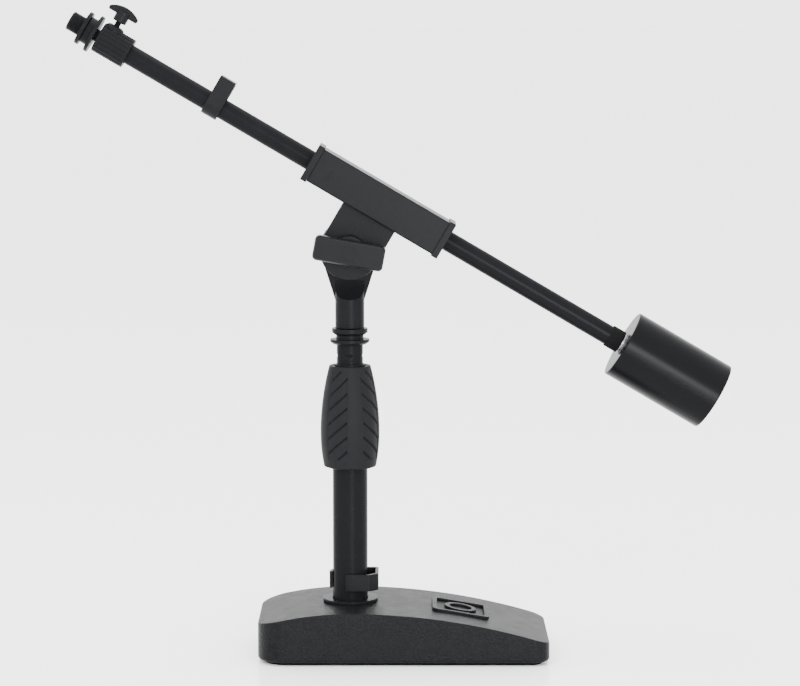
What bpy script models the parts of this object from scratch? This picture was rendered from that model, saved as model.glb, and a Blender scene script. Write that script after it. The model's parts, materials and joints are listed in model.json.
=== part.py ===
"""Desktop boom microphone stand.

A cast iron base carries a telescoping column with a twist clutch.  A swivel
head on the column holds a tilting cradle, and a counterweighted boom slides
and turns in it.  +X points to the counterweight, +Z up, and the origin is
where the column axis meets the floor.  Every size below is in millimetres.
"""

import math

import bmesh
import bpy

MM = 0.001
GAP = 0.3
MERGE = 1e-6
SEGMENTS = 32

# Base
PAD_TOP = 2.0
PAD_INSET = 5.0
BASE_LEFT = -73.0
BASE_RIGHT = 158.5
BASE_HALF_WIDTH = 55.0
BASE_CREST = 42.2
BASE_LEFT_ARCH = 262.0
BASE_RIGHT_ARCH = 525.0
BASE_LEFT_CORNER = 20.0
BASE_RIGHT_CORNER = 12.0
BASE_TOP_CHAMFER = 0.8
BASE_BOTTOM_CHAMFER = 3.0
BADGE_X = 88.5
BADGE_SIZE = 46.0
BADGE_RIM = 3.8
BADGE_RISE = 2.0
BADGE_ROOT = 4.0
BADGE_RING_RADIUS = 13.0
BADGE_RING_WIDTH = 4.0
BOLT_SEAT = 13.3
WASHER_THICK = 2.0
SOCKET_FLOOR = 20.0

# Column
TUBE_RADIUS = 14.0
TUBE_BORE = 12.5
TUBE_TOP = 224.0
FLANGE_RADIUS = 22.0
FLANGE_LOW = 41.5
FLANGE_TOP = 44.5
RISER_RADIUS = 10.5
RISER_BORE = 9.3
RISER_LOW = 88.0
RISER_TOP = 250.0
RISER_FLANGE_RADIUS = 15.7
RISER_FLANGE_TOP = 254.2
RISER_HUB_TOP = 257.7
RISER_STUD_TOP = 281.0
LOCK_RING_RADIUS = 14.3
LOCK_RING_LOW = 258.0
LOCK_RING_TOP = 262.9
GLIDE_LOW = 78.0
BUSH_LOW = 196.0
CLIP_WIDTH = 13.4
COLUMN_CLIP_Z = 59.2

# Twist clutch
GRIP_LOW = 150.2
GRIP_TOP = 233.0
GRIP_WAIST = 178.9
GRIP_RADIUS = 23.6
GRIP_UPPER_ARCH = 206.0
GRIP_LOWER_ARCH = 134.0
GRIP_SHOULDER = 154.0
CORE_RADIUS = 17.2
CORE_LOW = 176.0
CORE_TOP = 225.9
COLLET_LOW = 226.1
COLLET_TOP = 234.2

# Threaded joints, 5/8 inch
THREAD_RADIUS = 7.95
THREAD_BORE = 8.3
HUB_RADIUS = 11.0

# Swivel head
PIVOT_Z = 325.7
NECK_LOW = 263.2
NECK_RADIUS = 11.6
EAR_RADIUS = 24.0
EAR_FACE = 0.9
EAR_BACK = 11.6
EAR_FLARE_LOW = 285.0
NECK_TOP = 301.2
SCOOP_LOW = 286.4
SCOOP_RISE = 18.0
BOLT_HEAD_RADIUS = 8.0
FRICTION_RADIUS = 17.0
BOLT_RADIUS = 4.0
BOLT_HOLE = 4.3

# Cradle
DECLINATION = math.radians(30.4)
BOOM_OFFSET = 45.2
CRADLE_HALF = 57.0
CRADLE_HEIGHT = 28.7
CRADLE_DEPTH = 38.0
CAP_THICK = 5.0
CAP_PROUD = 1.2
TONGUE_HALF = 23.5
TONGUE_FRONT = 11.6
SLEEVE_RADIUS = 12.0
SLEEVE_HALF = 52.0

# Tilt handle
HANDLE_LENGTH = 56.0
HANDLE_HEIGHT = 19.7
HANDLE_BACK = 25.0
HANDLE_FRONT = 40.0
HANDLE_LEAN = math.radians(10.4)
HANDLE_HUB = 12.5

# Boom, measured along its axis from the middle of the cradle
BOOM_RADIUS = 8.0
BOOM_BORE = 6.8
BOOM_FRONT = -242.0
BOOM_BACK = 224.0
STOP_FRONT = 213.0
WEIGHT_FRONT = 225.5
WEIGHT_BACK = 310.4
WEIGHT_RADIUS = 27.85
BOOM_CLIP_S = -149.8
COLLAR_RADIUS = 12.2
COLLAR_FRONT = -255.3
COLLAR_BACK = -228.0
BOSS_RADIUS = 8.2
BOSS_TOP = 14.2
THUMB_S = -247.0
THUMB_BORE = 2.8
KNOB_LOW = 17.8
KNOB_RADIUS = 5.5
WING_LOW = 23.4
WING_HALF = 12.5
WING_THICK = 5.2
TIP_FLANGE_BACK = -257.8
TIP_FLANGE_FRONT = -260.7
TIP_HUB_FRONT = -266.3
TIP_END = -281.0

FINISHES = {
    "cast_iron_powder_coat": ((0.03, 0.03, 0.033), 0.55, 0.0),
    "satin_black_tube": ((0.02, 0.02, 0.022), 0.38, 0.3),
    "gloss_black_paint": ((0.012, 0.012, 0.014), 0.15, 0.3),
    "black_oxide_steel": ((0.05, 0.05, 0.052), 0.4, 0.8),
    "zinc_steel": ((0.55, 0.55, 0.56), 0.35, 1.0),
    "matte_black_nylon": ((0.025, 0.025, 0.027), 0.55, 0.0),
    "soft_grip": ((0.03, 0.03, 0.032), 0.7, 0.0),
    "rubber": ((0.02, 0.02, 0.02), 0.85, 0.0),
    "natural_nylon": ((0.75, 0.74, 0.7), 0.5, 0.0),
    "fibre": ((0.3, 0.16, 0.08), 0.8, 0.0),
}


# ---------------------------------------------------------------- tools

def clear_scene():
    for item in list(bpy.data.objects):
        bpy.data.objects.remove(item, do_unlink=True)


def finish_material(name):
    """The shared material of one finish."""
    material = bpy.data.materials.get(name)
    if material is None:
        colour, roughness, metallic = FINISHES[name]
        material = bpy.data.materials.new(name)
        material.use_nodes = True
        shader = material.node_tree.nodes["Principled BSDF"]
        shader.inputs["Base Color"].default_value = (*colour, 1.0)
        shader.inputs["Roughness"].default_value = roughness
        shader.inputs["Metallic"].default_value = metallic
    return material


def axis_frame(name, location, turn, parent=None):
    """An empty that marks a joint axis and carries the pieces on it."""
    empty = bpy.data.objects.new(name, None)
    bpy.context.scene.collection.objects.link(empty)
    empty.location = [value * MM for value in location]
    empty.rotation_euler = turn
    empty.parent = parent
    return empty


def place(name, shape, finish, frame, at, turn):
    """Turn a bmesh in millimetres into a named object."""
    bmesh.ops.scale(shape, vec=(MM, MM, MM), verts=shape.verts)
    bmesh.ops.remove_doubles(shape, verts=shape.verts, dist=MERGE)
    bmesh.ops.recalc_face_normals(shape, faces=shape.faces)
    mesh = bpy.data.meshes.new(name)
    shape.to_mesh(mesh)
    shape.free()
    mesh.shade_smooth()
    mesh.set_sharp_from_angle(angle=math.radians(35))
    item = bpy.data.objects.new(name, mesh)
    bpy.context.scene.collection.objects.link(item)
    item.location = [value * MM for value in at]
    item.rotation_euler = turn
    item.parent = frame
    if finish is None:
        item.hide_render = True
        item.display_type = "WIRE"
    else:
        mesh.materials.append(finish_material(finish))
    return item


def turned(name, outline, finish=None, frame=None, at=(0, 0, 0), turn=(0, 0, 0), steps=SEGMENTS):
    """A body of revolution about local Z from a closed (radius, height) outline."""
    shape = bmesh.new()
    points = [shape.verts.new((radius, 0, height)) for radius, height in outline]
    for start, end in zip(points, points[1:] + points[:1]):
        if start.co.x > 0 or end.co.x > 0:
            shape.edges.new((start, end))
    bmesh.ops.spin(shape, geom=shape.verts[:] + shape.edges[:], cent=(0, 0, 0), axis=(0, 0, 1),
                   angle=math.tau, steps=steps, use_merge=True)
    return place(name, shape, finish, frame, at, turn)


def prism(name, outline, low, high, finish=None, frame=None, at=(0, 0, 0), turn=(0, 0, 0)):
    """A flat outline in local X and Y, extruded from low to high along local Z."""
    shape = bmesh.new()
    face = shape.faces.new([shape.verts.new((x, y, low)) for x, y in outline])
    raised = bmesh.ops.extrude_face_region(shape, geom=[face])["geom"]
    moved = [item for item in raised if isinstance(item, bmesh.types.BMVert)]
    bmesh.ops.translate(shape, verts=moved, vec=(0, 0, high - low))
    return place(name, shape, finish, frame, at, turn)


def loft(name, sections, finish=None, frame=None):
    """Join a row of closed sections with equal numbers of points."""
    shape = bmesh.new()
    rings = [[shape.verts.new(point) for point in section] for section in sections]
    for ring, following in zip(rings, rings[1:]):
        count = len(ring)
        for i in range(count):
            j = (i + 1) % count
            shape.faces.new((ring[i], ring[j], following[j], following[i]))
    shape.faces.new(rings[0])
    shape.faces.new(rings[-1])
    return place(name, shape, finish, frame, (0, 0, 0), (0, 0, 0))


def combine(item, tool, operation="DIFFERENCE"):
    """Cut, join or trim an object with a tool that isn't part of the model."""
    step = item.modifiers.new(tool.name, "BOOLEAN")
    step.operation = operation
    step.solver = "EXACT"
    step.object = tool


def arc(cx, cy, radius, start, end, steps):
    """Points on a circle between two angles in degrees."""
    points = []
    for i in range(steps + 1):
        angle = math.radians(start + (end - start) * i / steps)
        points.append((cx + radius * math.cos(angle), cy + radius * math.sin(angle)))
    return points


def rounded_rectangle(width, height, radius, steps=4):
    x = width / 2 - radius
    y = height / 2 - radius
    corners = ((x, y, 0), (-x, y, 90), (-x, -y, 180), (x, -y, 270))
    return [point for cx, cy, start in corners for point in arc(cx, cy, radius, start, start + 90, steps)]


def ring_outline(inner, outer, low, high, chamfer=0.0):
    """Section of a plain ring, its two outer edges chamfered."""
    return [(inner, low), (outer - chamfer, low), (outer, low + chamfer),
            (outer, high - chamfer), (outer - chamfer, high), (inner, high)]


def rod_outline(radius, low, high, chamfer=0.0):
    """Section of a solid round bar."""
    return [(0, low), (radius - chamfer, low), (radius, low + chamfer),
            (radius, high - chamfer), (radius - chamfer, high), (0, high)]


FORWARD = (math.radians(90), 0, 0)   # turns local Z to the front, -Y
SIDEWAYS = (0, math.radians(-90), 0)   # turns local X up and local Z to the left, -X


# ---------------------------------------------------------------- base

def base_height(x):
    """Height of the arched top: two arcs that meet at the column."""
    arch = BASE_LEFT_ARCH if x < 0 else BASE_RIGHT_ARCH
    return BASE_CREST - arch + math.sqrt(arch * arch - x * x)


def base_stations():
    """(x, half width) along the plan, a rectangle with four round corners."""
    left = BASE_LEFT_CORNER
    right = BASE_RIGHT_CORNER
    stations = []
    for x, y in arc(BASE_LEFT + left, BASE_HALF_WIDTH - left, left, 180, 90, 6):
        stations.append((x, y))
    straight = 14
    start = BASE_LEFT + left
    span = BASE_RIGHT - right - start
    for i in range(1, straight):
        stations.append((start + span * i / straight, BASE_HALF_WIDTH))
    for x, y in arc(BASE_RIGHT - right, BASE_HALF_WIDTH - right, right, 90, 0, 5):
        stations.append((x, y))
    return stations


def base_section(x, half, low, top, under, over):
    """One section across the base, chamfered under by `under` and on top by `over`."""
    return [(x, -half + under, low), (x, -half, low + under), (x, -half, top - over), (x, -half + over, top),
            (x, half - over, top), (x, half, top - over), (x, half, low + under), (x, half - under, low)]


def make_base():
    low = PAD_TOP + GAP
    sections = [base_section(x, half, low, base_height(x), BASE_BOTTOM_CHAMFER, BASE_TOP_CHAMFER)
                for x, half in base_stations()]
    casting = loft("base_casting", sections, "cast_iron_powder_coat")
    add_badge(casting)
    seat = turned("flange_seat", rod_outline(FLANGE_RADIUS + 0.6, FLANGE_LOW - GAP, BASE_CREST + 5))
    socket = turned("column_socket", rod_outline(TUBE_RADIUS + GAP, SOCKET_FLOOR, BASE_CREST))
    recess = turned("bolt_recess", rod_outline(13.0, -5, BOLT_SEAT))
    hole = turned("bolt_hole", rod_outline(5.3, BOLT_SEAT - 5, SOCKET_FLOOR + 5))
    for tool in (seat, socket, recess, hole):
        combine(casting, tool)


def add_badge(casting):
    """Raised square frame with a plain ring in it, leaning with the top."""
    lean = math.asin(BADGE_X / BASE_RIGHT_ARCH)
    frame = axis_frame("badge_frame", (BADGE_X, 0, base_height(BADGE_X)), (0, lean, 0))
    square = rounded_rectangle(BADGE_SIZE, BADGE_SIZE, 4)
    rim = prism("badge_rim", square, -BADGE_ROOT, BADGE_RISE, None, frame)
    inside = BADGE_SIZE - 2 * BADGE_RIM
    floor = prism("badge_floor", rounded_rectangle(inside, inside, 2.5), 0.2, BADGE_RISE + 5, None, frame)
    outer = BADGE_RING_RADIUS
    section = ring_outline(outer - BADGE_RING_WIDTH, outer, -BADGE_ROOT, BADGE_RISE)
    ring = turned("badge_ring", section, None, frame)
    combine(casting, rim, "UNION")
    combine(casting, floor)
    combine(casting, ring, "UNION")


def make_pad():
    """Full rubber sheet glued under the casting."""
    sections = []
    for x, half in base_stations():
        mid = (BASE_LEFT + BASE_RIGHT) / 2
        scale = 1 - 2 * PAD_INSET / (BASE_RIGHT - BASE_LEFT)
        sections.append(base_section(mid + (x - mid) * scale, half - PAD_INSET, 0, PAD_TOP, 0.3, 0.3))
    loft("base_pad", sections, "rubber")


def make_base_fastener():
    low = BOLT_SEAT - GAP
    turned("base_washer", ring_outline(5.4, 12.0, low - WASHER_THICK, low, 0.3), "zinc_steel")
    head_top = low - WASHER_THICK - GAP
    head = 6.4
    bolt = prism("base_bolt", arc(0, 0, 9.2, 0, 300, 5), head_top - head, head_top, "zinc_steel")
    shank = turned("base_bolt_shank", rod_outline(5.0, head_top - 1, 34.0, 0.6))
    combine(bolt, shank, "UNION")


# ---------------------------------------------------------------- column

def make_column():
    turned("column_flange", ring_outline(TUBE_RADIUS + GAP, FLANGE_RADIUS, FLANGE_LOW, FLANGE_TOP, 0.6),
           "satin_black_tube")
    low = SOCKET_FLOOR + GAP
    turned("outer_tube", ring_outline(TUBE_BORE, TUBE_RADIUS, low, TUBE_TOP, 0.3), "satin_black_tube")
    plug = TUBE_BORE - GAP
    turned("column_plug", [(5.3, low), (plug, low), (plug, 42), (0, 42), (0, 38), (5.3, 38)], "zinc_steel")
    bore = RISER_RADIUS + GAP
    rim = TUBE_TOP + GAP
    turned("column_bush", [(bore, BUSH_LOW), (plug, BUSH_LOW), (plug, rim), (13.8, rim),
                           (13.8, rim + 1.5), (bore, rim + 1.5)], "natural_nylon")


def grip_radius(z):
    """Barrel outside of the twist grip."""
    rise = z - GRIP_WAIST
    arch = GRIP_UPPER_ARCH if rise > 0 else GRIP_LOWER_ARCH
    return GRIP_RADIUS - rise * rise / (2 * arch)


def make_clutch(frame):
    turned("clutch_core", ring_outline(TUBE_RADIUS + GAP, CORE_RADIUS, CORE_LOW, TUBE_TOP, 0.5),
           "matte_black_nylon")
    bore = RISER_RADIUS + GAP
    collet = turned("clutch_collet", [(bore, COLLET_LOW), (14.6, COLLET_LOW), (14.6, COLLET_LOW + 1.6),
                                      (12.0, COLLET_TOP - 2.6), (12.0, COLLET_TOP), (bore, COLLET_TOP)],
                    "matte_black_nylon")
    slit = prism("collet_slit", rounded_rectangle(20, 1.5, 0.2, 1), COLLET_LOW - 5, COLLET_TOP + 5,
                 at=(-12, 0, 0))
    combine(collet, slit)
    mouth = TUBE_RADIUS + GAP
    inside = CORE_RADIUS + GAP
    steps = 12
    barrel = []
    for i in range(steps + 1):
        z = GRIP_SHOULDER + (GRIP_TOP - GRIP_SHOULDER) * i / steps
        barrel.append((grip_radius(z), z))
    outline = [(mouth, GRIP_LOW), (19.6, GRIP_LOW + 1.2)] + barrel
    outline += [(12.3, GRIP_TOP), (12.3, COLLET_TOP - 2.3), (14.9, COLLET_LOW + 1.9),
                (inside, CORE_TOP), (inside, CORE_LOW - 2), (mouth, CORE_LOW - 6)]
    turned("clutch_grip", outline, "soft_grip", frame, steps=40)


def clip_outline(radius, reach, half, corner):
    """Half round on the tube side, square with soft corners on the cable side."""
    points = arc(0, 0, radius, 90, 270, 10)
    points += arc(reach - corner, -half + corner, corner, -90, 0, 3)
    points += arc(reach - corner, half - corner, corner, 0, 90, 3)
    return points


def make_clip(name, tube_radius, reach, half, wall, mouth, frame, at, turn):
    """Snap-on cable clip: a band round the tube with a cable loop beside it."""
    bore = tube_radius + GAP
    low = -CLIP_WIDTH / 2
    high = CLIP_WIDTH / 2
    clip = prism(name, clip_outline(bore + wall, reach, half, wall + 1), low, high, "matte_black_nylon",
                 frame, at, turn)
    hollow = prism(name + "_hollow", clip_outline(bore, reach - wall, half - wall, 1.2), low - 5, high + 5,
                   None, frame, at, turn)
    combine(clip, hollow)
    gap = prism(name + "_mouth", mouth, low - 5, high + 5, None, frame, at, turn)
    combine(clip, gap)


def make_column_clip(frame):
    mouth = [(-40, -2), (-3.7, -2), (-3.7, -40), (-40, -40)]
    make_clip("column_clip", TUBE_RADIUS, 22.8, 16.9, 2.5, mouth, frame, (0, 0, COLUMN_CLIP_Z), (0, 0, 0))


def make_riser(frame):
    turned("inner_tube", ring_outline(RISER_BORE, RISER_RADIUS, RISER_LOW, RISER_TOP, 0.2),
           "satin_black_tube", frame)
    guide = TUBE_BORE - GAP
    plug = RISER_BORE - GAP
    step = RISER_LOW - GAP
    glide_top = GLIDE_LOW + 22
    turned("riser_glide", [(0, GLIDE_LOW), (guide - 1, GLIDE_LOW), (guide, GLIDE_LOW + 1), (guide, step),
                           (plug, step), (plug, glide_top), (0, glide_top)], "natural_nylon", frame)
    flange = RISER_TOP + GAP
    foot = RISER_TOP - 25
    top = RISER_STUD_TOP
    turned("riser_stud", [(0, foot), (plug, foot), (plug, flange), (13.6, flange),
                          (RISER_FLANGE_RADIUS, flange + 1.4),
                          (RISER_FLANGE_RADIUS, RISER_FLANGE_TOP), (HUB_RADIUS, RISER_FLANGE_TOP),
                          (HUB_RADIUS, RISER_HUB_TOP), (THREAD_RADIUS, RISER_HUB_TOP),
                          (THREAD_RADIUS, top - 1), (7.0, top), (0, top)], "black_oxide_steel", frame)


def make_riser_ring(frame):
    low, top, outer = LOCK_RING_LOW, LOCK_RING_TOP, LOCK_RING_RADIUS
    turned("riser_lock_ring", [(THREAD_BORE, low), (outer - 1.9, low), (outer, low + 1.4), (outer, top - 0.4),
                               (outer - 0.4, top), (THREAD_BORE, top)], "black_oxide_steel", frame)


# ---------------------------------------------------------------- swivel head

def ear_outline():
    """Round ear about the pivot, with a flare down to the neck."""
    low = EAR_FLARE_LOW - PIVOT_Z
    neck = NECK_RADIUS - 0.1
    return arc(0, 0, EAR_RADIUS, -32, 212, 22) + [(-neck, low), (neck, low)]


def scoop_outline():
    """What is cut away in front of the ear, as (height, depth) from the pivot.

    A concave curve leads from the ear's flat face out to the front of the neck.
    """
    low = SCOOP_LOW - PIVOT_Z
    reach = NECK_RADIUS + EAR_FACE
    radius = (SCOOP_RISE ** 2 + reach ** 2) / (2 * reach)
    end = 180 - math.degrees(math.asin((radius - reach) / radius))
    curve = arc(low + SCOOP_RISE, EAR_FACE - radius, radius, 90, end, 8)
    return [(30, -30), (30, EAR_FACE)] + curve + [(low, -30)]


def make_swivel(frame):
    at = (0, 0, PIVOT_Z)
    neck = rod_outline(NECK_RADIUS, NECK_LOW, NECK_TOP, 0.4)
    base = turned("swivel_base", neck, "black_oxide_steel", frame)
    ear = prism("ear_plate", ear_outline(), -EAR_BACK, -EAR_FACE + 0.05, None, frame, at, FORWARD)
    scoop = prism("ear_scoop", scoop_outline(), -30, 30, None, frame, at, SIDEWAYS)
    stud_hole = turned("stud_hole", rod_outline(THREAD_BORE, NECK_LOW - 5, 282), None, frame)
    bolt_hole = turned("ear_bolt_hole", rod_outline(BOLT_HOLE, -30, 10), None, frame, at, FORWARD)
    room = BOLT_HEAD_RADIUS + 0.5
    head_room = turned("bolt_head_room", rod_outline(room, -30, -7.5), None, frame, at, FORWARD)
    combine(base, ear, "UNION")
    for tool in (scoop, stud_hole, bolt_hole, head_room):
        combine(base, tool)


def make_pivot_hardware(frame):
    at = (0, 0, PIVOT_Z)
    head = -8.2
    wide = BOLT_HEAD_RADIUS
    turned("pivot_bolt", [(0, -11.2), (wide - 1.4, -11.2), (wide, -10), (wide, head), (BOLT_RADIUS, head),
                          (BOLT_RADIUS, 29.4), (3.4, 30), (0, 30)], "zinc_steel", frame, at, FORWARD)
    disc = ring_outline(BOLT_HOLE, FRICTION_RADIUS, -0.6, 0.6)
    turned("friction_washer", disc, "fibre", frame, at, FORWARD)


def make_tilt_handle(frame):
    """T-bar with a round hub, screwed on the front end of the pivot bolt."""
    start = TONGUE_FRONT + GAP
    washer = ring_outline(BOLT_HOLE, 13.0, start, start + 1.6, 0.3)
    turned("handle_washer", washer, "black_oxide_steel", frame, turn=FORWARD)
    lean = (math.radians(90), HANDLE_LEAN, 0)
    bar = prism("tilt_handle", rounded_rectangle(HANDLE_LENGTH, HANDLE_HEIGHT, 5), HANDLE_BACK, HANDLE_FRONT,
                "matte_black_nylon", frame, turn=lean)
    stem = rod_outline(HANDLE_HUB, start + 1.6 + GAP, HANDLE_BACK + 4)
    hub = turned("handle_hub", stem, None, frame, turn=FORWARD)
    pocket = turned("handle_pocket", rod_outline(6.8, -20, 32), None, frame, turn=FORWARD)
    combine(bar, hub, "UNION")
    combine(bar, pocket)
    turned("handle_insert", ring_outline(BOLT_HOLE, 6.5, 16, 29, 0.3), "zinc_steel", frame, turn=FORWARD)


# ---------------------------------------------------------------- cradle

def tongue_outline():
    """Plate from the cradle down to a round end about the pivot."""
    top = BOOM_OFFSET - CRADLE_HEIGHT / 2 + 2
    return [(TONGUE_HALF, top), (-TONGUE_HALF, top)] + arc(0, 0, TONGUE_HALF, 180, 360, 20)


def make_cradle(frame):
    """The frame's X runs along the boom and its Z up across it, from the pivot."""
    block = [(x, y + BOOM_OFFSET) for x, y in rounded_rectangle(2 * CRADLE_HALF, CRADLE_HEIGHT, 1.0, 2)]
    half = CRADLE_DEPTH / 2
    housing = prism("cradle_housing", block, -half, half, "matte_black_nylon", frame, turn=FORWARD)
    tongue = prism("cradle_tongue", tongue_outline(), EAR_FACE, TONGUE_FRONT, None, frame, turn=FORWARD)
    along = (0, math.radians(90), 0)
    centre = (0, 0, BOOM_OFFSET)
    bore = turned("sleeve_bore", rod_outline(SLEEVE_RADIUS + GAP, -80, 80), None, frame, centre, along)
    hole = turned("tongue_bolt_hole", rod_outline(BOLT_HOLE, -5, 20), None, frame, turn=FORWARD)
    combine(housing, tongue, "UNION")
    combine(housing, bore)
    combine(housing, hole)


def make_end_cap(name, side, frame):
    """Slightly proud cap with a spigot that centres the sleeve."""
    width = CRADLE_DEPTH + 2 * CAP_PROUD
    height = CRADLE_HEIGHT + 2 * CAP_PROUD
    inner = CRADLE_HALF + GAP
    outer = inner + CAP_THICK
    low, high = (inner, outer) if side > 0 else (-outer, -inner)
    cap = prism(name, rounded_rectangle(height, width, 2.5, 2), low, high, "matte_black_nylon", frame)
    spigot = SLEEVE_HALF + GAP
    ends = (spigot, inner + 1) if side > 0 else (-inner - 1, -spigot)
    collar = turned(name + "_spigot", rod_outline(SLEEVE_RADIUS, *ends), None, frame)
    hole = turned(name + "_hole", rod_outline(BOOM_RADIUS + 0.4, low - 20, high + 20), None, frame)
    combine(cap, collar, "UNION")
    combine(cap, hole)


def make_sleeve(frame):
    section = ring_outline(BOOM_RADIUS + GAP, SLEEVE_RADIUS, -SLEEVE_HALF, SLEEVE_HALF, 0.3)
    sleeve = turned("boom_sleeve", section, "natural_nylon", frame)
    slit = prism("sleeve_slit", rounded_rectangle(10, 2, 0.3, 1), -80, 80, None, frame, (11, 0, 0))
    combine(sleeve, slit)


# ---------------------------------------------------------------- boom

def make_boom(frame):
    """The frame's Z runs down the boom towards the counterweight, its -X up across it."""
    wall = ring_outline(BOOM_BORE, BOOM_RADIUS, BOOM_FRONT, BOOM_BACK, 0.2)
    turned("boom_tube", wall, "satin_black_tube", frame)
    stop = ring_outline(BOOM_RADIUS + GAP, 9.0, STOP_FRONT, BOOM_BACK, 0.3)
    turned("boom_stop_sleeve", stop, "rubber", frame)
    plug = BOOM_BORE - GAP
    shoulder = BOOM_BACK + GAP
    turned("weight_stud", [(0, 198), (plug, 198), (plug, shoulder), (7.8, shoulder), (7.8, 225.2),
                           (5.0, 225.2), (5.0, 261), (4.4, 262), (0, 262)], "zinc_steel", frame)
    make_tip_collar(frame)


def make_tip_collar(frame):
    """Collar on the end of the tube: the mic stud's shank fits its front bore."""
    socket = BOOM_FRONT - GAP
    edge = 0.6
    collar = turned("tip_collar", [(BOOM_RADIUS + GAP, COLLAR_BACK), (COLLAR_RADIUS - edge, COLLAR_BACK),
                                   (COLLAR_RADIUS, COLLAR_BACK - edge), (COLLAR_RADIUS, COLLAR_FRONT + edge),
                                   (COLLAR_RADIUS - edge, COLLAR_FRONT), (5.3, COLLAR_FRONT), (5.3, socket),
                                   (BOOM_RADIUS + GAP, socket)], "black_oxide_steel", frame)
    upward = (0, math.radians(-90), 0)
    at = (0, 0, THUMB_S)
    top = BOSS_TOP
    outline = [(0, 8.6), (BOSS_RADIUS, 8.6), (BOSS_RADIUS, top - 3.6),
               (BOSS_RADIUS - 1, top - 1.6), (BOSS_RADIUS - 3, top), (0, top)]
    boss = turned("collar_boss", outline, None, frame, at, upward)
    thread = turned("collar_thread", rod_outline(THUMB_BORE, 2.1, 30), None, frame, at, upward, 20)
    combine(collar, boss, "UNION")
    combine(collar, thread)


def make_counterweight(frame):
    bore = 5.3
    edge = 1.0
    turned("counterweight", [(bore, WEIGHT_FRONT), (WEIGHT_RADIUS - edge, WEIGHT_FRONT),
                             (WEIGHT_RADIUS, WEIGHT_FRONT + edge), (WEIGHT_RADIUS, WEIGHT_BACK - edge),
                             (WEIGHT_RADIUS - edge, WEIGHT_BACK), (0, WEIGHT_BACK), (0, 265), (bore, 265)],
           "gloss_black_paint", frame, steps=48)


def make_boom_clip(frame):
    """The same kind of clip as on the column, its cable loop upward."""
    mouth = [(-40, -2), (3.7, -2), (3.7, -40), (-40, -40)]
    flip = (0, 0, math.radians(180))
    make_clip("boom_clip", BOOM_RADIUS, 23.0, 10.6, 2.3, mouth, frame, (0, 0, BOOM_CLIP_S), flip)


def make_mic_stud(frame):
    flange = 15.5
    outline = [(0, TIP_END), (7.1, TIP_END), (THREAD_RADIUS, TIP_END + 0.9),
               (THREAD_RADIUS, TIP_HUB_FRONT), (HUB_RADIUS, TIP_HUB_FRONT), (HUB_RADIUS, TIP_FLANGE_FRONT),
               (flange - 0.4, TIP_FLANGE_FRONT), (flange, TIP_FLANGE_FRONT + 0.4),
               (flange, TIP_FLANGE_BACK - 0.4), (flange - 0.4, TIP_FLANGE_BACK), (5.0, TIP_FLANGE_BACK),
               (5.0, -245), (0, -245)]
    turned("mic_stud", outline, "black_oxide_steel", frame)


def make_mic_ring(frame):
    front = TIP_HUB_FRONT - GAP
    ring = ring_outline(THREAD_BORE, 13.9, front - 3.2, front, 0.5)
    turned("mic_lock_ring", ring, "black_oxide_steel", frame)


def make_thumb_screw(frame):
    """The frame's Z points away from the boom along the screw."""
    turned("thumb_rod", rod_outline(2.5, 5.9, WING_LOW, 0.3), "black_oxide_steel", frame, steps=20)
    radius, low = KNOB_RADIUS, KNOB_LOW
    knob = turned("thumb_knob", [(0, low), (radius - 0.7, low), (radius, low + 0.8), (radius, 27), (0, 27)],
                  "matte_black_nylon", frame, steps=24)
    half, foot = WING_HALF, WING_LOW
    crown = arc(0, foot - 13, 20.2, 53, 127, 10)
    wings = prism("thumb_wings", [(-half, foot + 1), (0.7 - half, foot), (half - 0.7, foot), (half, foot + 1),
                                  (half, foot + 3)] + crown + [(-half, foot + 3)],
                  -WING_THICK / 2, WING_THICK / 2, None, frame, turn=FORWARD)
    hole = turned("thumb_insert", rod_outline(THUMB_BORE, 10, WING_LOW + GAP), None, frame, steps=20)
    combine(knob, wings, "UNION")
    combine(knob, hole)


# ---------------------------------------------------------------- assembly

def build():
    clear_scene()
    make_pad()
    make_base()
    make_base_fastener()
    make_column()
    clutch_axis = axis_frame("clutch_axis", (0, 0, 0), (0, 0, 0))
    make_clutch(clutch_axis)
    make_column_clip(clutch_axis)
    riser_axis = axis_frame("riser_axis", (0, 0, 0), (0, 0, 0))
    make_riser(riser_axis)
    make_riser_ring(riser_axis)
    make_swivel(riser_axis)
    make_pivot_hardware(riser_axis)
    handle_axis = axis_frame("handle_axis", (0, 0, PIVOT_Z), (0, 0, 0))
    make_tilt_handle(handle_axis)
    cradle_axis = axis_frame("cradle_axis", (0, 0, PIVOT_Z), (0, DECLINATION, 0))
    make_cradle(cradle_axis)
    along = (0, math.radians(90), 0)
    boom_axis = axis_frame("boom_axis", (0, 0, BOOM_OFFSET), along, cradle_axis)
    make_end_cap("end_cap_tip_side", -1, boom_axis)
    make_end_cap("end_cap_weight_side", 1, boom_axis)
    make_sleeve(boom_axis)
    make_boom(boom_axis)
    make_counterweight(boom_axis)
    make_boom_clip(boom_axis)
    make_mic_stud(boom_axis)
    make_mic_ring(boom_axis)
    thumb_axis = axis_frame("thumb_axis", (THUMB_S, 0, BOOM_OFFSET), (0, 0, 0), cradle_axis)
    make_thumb_screw(thumb_axis)


build()
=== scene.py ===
"""Looks of the desktop boom microphone stand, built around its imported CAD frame.

Sizes below are in millimetres unless they say otherwise.  Places, lengths and
radii come from the CAD nodes, measured in the axes of the body they sit on.
"""

import json
import math

import bmesh
import bpy
from mathutils import Matrix, Vector

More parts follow.
